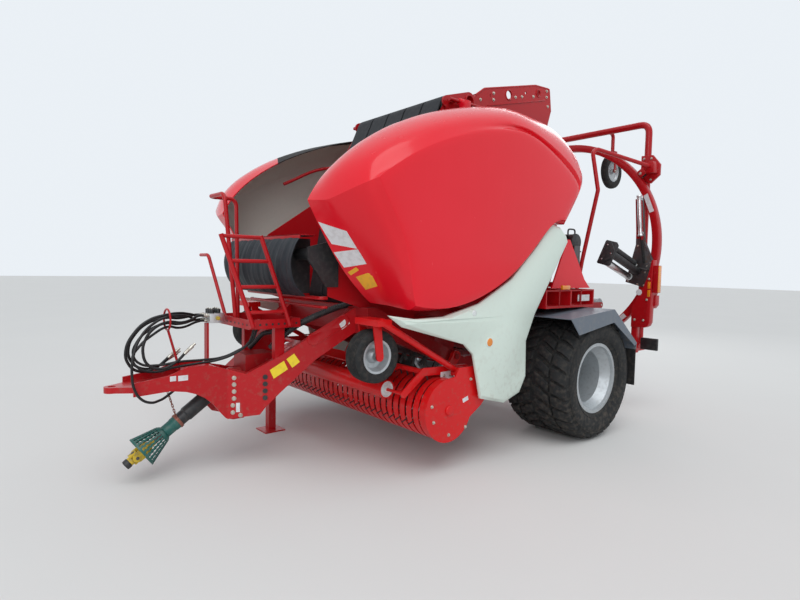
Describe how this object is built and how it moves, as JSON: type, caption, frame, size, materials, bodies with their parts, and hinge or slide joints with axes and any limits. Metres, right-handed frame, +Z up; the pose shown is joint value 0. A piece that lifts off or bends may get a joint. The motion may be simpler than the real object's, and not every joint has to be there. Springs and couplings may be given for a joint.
{
  "type": "round baler with bale wrapper",
  "caption": "Towed round baler with a bale chamber under folded side covers, a wide tined pickup, a drawbar with parking jack and a wrapping ring behind.",
  "frame": {"origin": "on the ground, in the middle of the footprint", "axes": "+X forward to the tractor, +Y to the left, +Z up"},
  "size_m": [5.7399, 2.972, 3.425],
  "materials": {
    "red_paint": "gloss",
    "dark_red_paint": "semi-gloss",
    "pale_panel": "satin",
    "slate_panel": "satin",
    "black_rubber": "matte",
    "tyre": "matte",
    "silver_rim": "satin",
    "dark_steel": "satin",
    "steel": "satin",
    "green_guard": "satin",
    "yellow_yoke": "satin",
    "lamp_red": "gloss"
  },
  "bodies": {
    "chassis": {"drawbar": "red_paint", "main_frame": "red_paint", "front_walls": "dark_red_paint", "belt_rolls": "dark_steel", "belts": "black_rubber", "net_box": "black_rubber", "platform": "red_paint", "ladder": "red_paint", "white_panels": "pale_panel", "rear_panels": "red_paint", "roll_carriers": "dark_red_paint", "fenders": "slate_panel", "mud_flaps": "black_rubber", "ring_frame": "red_paint", "lamps": "lamp_red", "table_arms": "dark_red_paint", "gearbox": "red_paint", "valve_block": "dark_steel", "pto_guard": "green_guard", "hose_1": "black_rubber", "hose_2": "black_rubber", "hose_3": "black_rubber", "couplers": "steel"},
    "wheel_left": {"tyre_left": "tyre", "rim_left": "silver_rim"},
    "wheel_right": {"tyre_right": "tyre", "rim_right": "silver_rim"},
    "cover_left": {"cover_left": "red_paint"},
    "cover_right": {"cover_right": "red_paint"},
    "tailgate": {"tailgate": "dark_red_paint"},
    "pickup": {"pickup_frame": "red_paint", "pickup_bands": "dark_red_paint"},
    "reel": {"pickup_reel": "dark_steel"},
    "windguard": {"windguard": "red_paint"},
    "press_roller": {"windguard_roller": "red_paint"},
    "gauge_left": {"gauge_wheel_left": "tyre"},
    "gauge_right": {"gauge_wheel_right": "tyre"},
    "feed_rotor": {"feed_rotor": "dark_steel"},
    "jack_leg": {"jack_leg": "red_paint"},
    "ring": {"wrap_ring": "red_paint", "dispensers": "dark_steel"},
    "table": {"table_frame": "red_paint"},
    "table_roller_front": {"table_roller_front": "dark_steel"},
    "table_roller_rear": {"table_roller_rear": "dark_steel"},
    "bale_wheel": {"bale_wheel": "tyre"},
    "pto_shaft": {"pto_yoke": "yellow_yoke"}
  },
  "joints": [
    {"name": "wheel_left_spin", "type": "hinge", "parent": "chassis", "child": "wheel_left", "pos_m": [-0.92, 1.105, 0.57], "axis": [0, 1, 0], "continuous": true},
    {"name": "wheel_right_spin", "type": "hinge", "parent": "chassis", "child": "wheel_right", "pos_m": [-0.92, -1.105, 0.57], "axis": [0, 1, 0], "continuous": true},
    {"name": "cover_left_hinge", "type": "hinge", "parent": "chassis", "child": "cover_left", "pos_m": [0.04, 0.7, 2.99], "axis": [1, 0, 0], "range_deg": [0, 65]},
    {"name": "cover_right_hinge", "type": "hinge", "parent": "chassis", "child": "cover_right", "pos_m": [0.04, -0.7, 2.99], "axis": [-1, 0, 0], "range_deg": [0, 65]},
    {"name": "tailgate_hinge", "type": "hinge", "parent": "chassis", "child": "tailgate", "pos_m": [0.06, 0, 3.04], "axis": [0, 1, 0], "range_deg": [0, 60]},
    {"name": "pickup_lift", "type": "hinge", "parent": "chassis", "child": "pickup", "pos_m": [0.26, 0, 0.79], "axis": [0, 1, 0], "range_deg": [0, 15]},
    {"name": "reel_spin", "type": "hinge", "parent": "pickup", "child": "reel", "pos_m": [0.78, 0, 0.485], "axis": [0, 1, 0], "continuous": true},
    {"name": "windguard_hinge", "type": "hinge", "parent": "pickup", "child": "windguard", "pos_m": [0.491, 0, 0.76], "axis": [0, -1, 0], "range_deg": [0, 15]},
    {"name": "press_roller_spin", "type": "hinge", "parent": "windguard", "child": "press_roller", "pos_m": [1.13, 0, 0.635], "axis": [0, 1, 0], "continuous": true},
    {"name": "gauge_left_spin", "type": "hinge", "parent": "pickup", "child": "gauge_left", "pos_m": [1.342, 0.975, 0.922], "axis": [0, 1, 0], "continuous": true},
    {"name": "gauge_right_spin", "type": "hinge", "parent": "pickup", "child": "gauge_right", "pos_m": [1.342, -0.975, 0.922], "axis": [0, 1, 0], "continuous": true},
    {"name": "feed_rotor_spin", "type": "hinge", "parent": "chassis", "child": "feed_rotor", "pos_m": [0.26, 0, 0.79], "axis": [0, 1, 0], "continuous": true},
    {"name": "jack_slide", "type": "slide", "parent": "chassis", "child": "jack_leg", "axis": [0, 0, 1], "range_m": [0, 0.35]},
    {"name": "ring_spin", "type": "hinge", "parent": "chassis", "child": "ring", "pos_m": [-2.42, 0, 1.87], "axis": [1, 0, 0], "continuous": true},
    {"name": "table_tilt", "type": "hinge", "parent": "chassis", "child": "table", "pos_m": [-2.42, 0, 1.1], "axis": [0, -1, 0], "range_deg": [0, 30]},
    {"name": "table_roller_front_spin", "type": "hinge", "parent": "table", "child": "table_roller_front", "pos_m": [-2.055, 0, 1.125], "axis": [0, 1, 0], "continuous": true},
    {"name": "table_roller_rear_spin", "type": "hinge", "parent": "table", "child": "table_roller_rear", "pos_m": [-2.785, 0, 1.125], "axis": [0, 1, 0], "continuous": true},
    {"name": "bale_wheel_spin", "type": "hinge", "parent": "chassis", "child": "bale_wheel", "pos_m": [-2.66, 0.5, 2.78], "axis": [0, 1, 0], "continuous": true},
    {"name": "pto_spin", "type": "hinge", "parent": "chassis", "child": "pto_shaft", "pos_m": [1.98, 0, 0.69], "axis": [0.8117, 0, -0.5841], "continuous": true}
  ]
}
